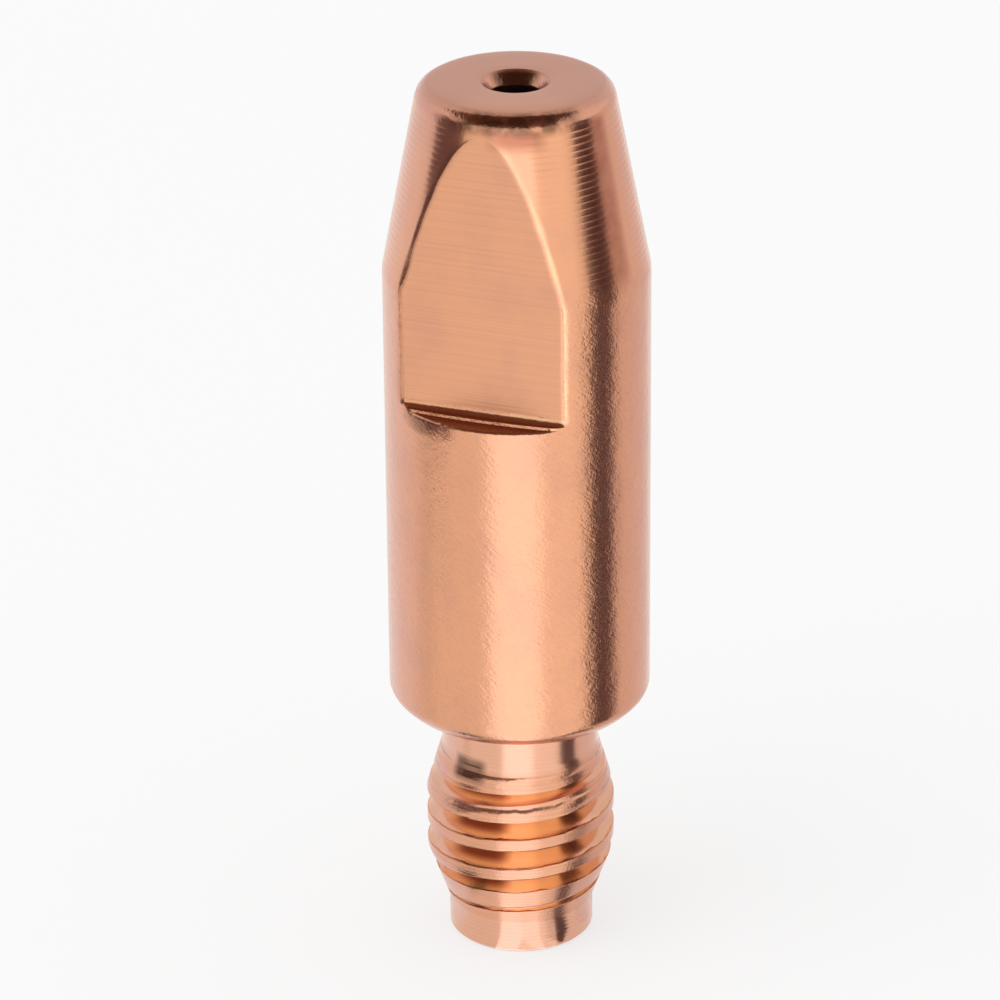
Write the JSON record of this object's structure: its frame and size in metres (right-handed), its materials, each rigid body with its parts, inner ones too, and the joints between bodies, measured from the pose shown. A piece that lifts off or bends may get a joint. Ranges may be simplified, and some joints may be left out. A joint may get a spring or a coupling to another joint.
{
  "type": "welding contact tip",
  "caption": "Turned copper contact tip with a through wire bore, tapered nose, spanner flats and a male threaded shank that screws into a welding torch's tip holder.",
  "frame": {"origin": "on the axis, in the plane of the rear end face that the tip stands on", "axes": "+Z along the axis from the rear end to the nose, the two spanner flats facing -Y and +Y"},
  "size_m": [0.008, 0.008, 0.028],
  "materials": {
    "copper": "turned copper, satin"
  },
  "bodies": {
    "root": {"contact_tip": "copper"}
  },
  "joints": []
}
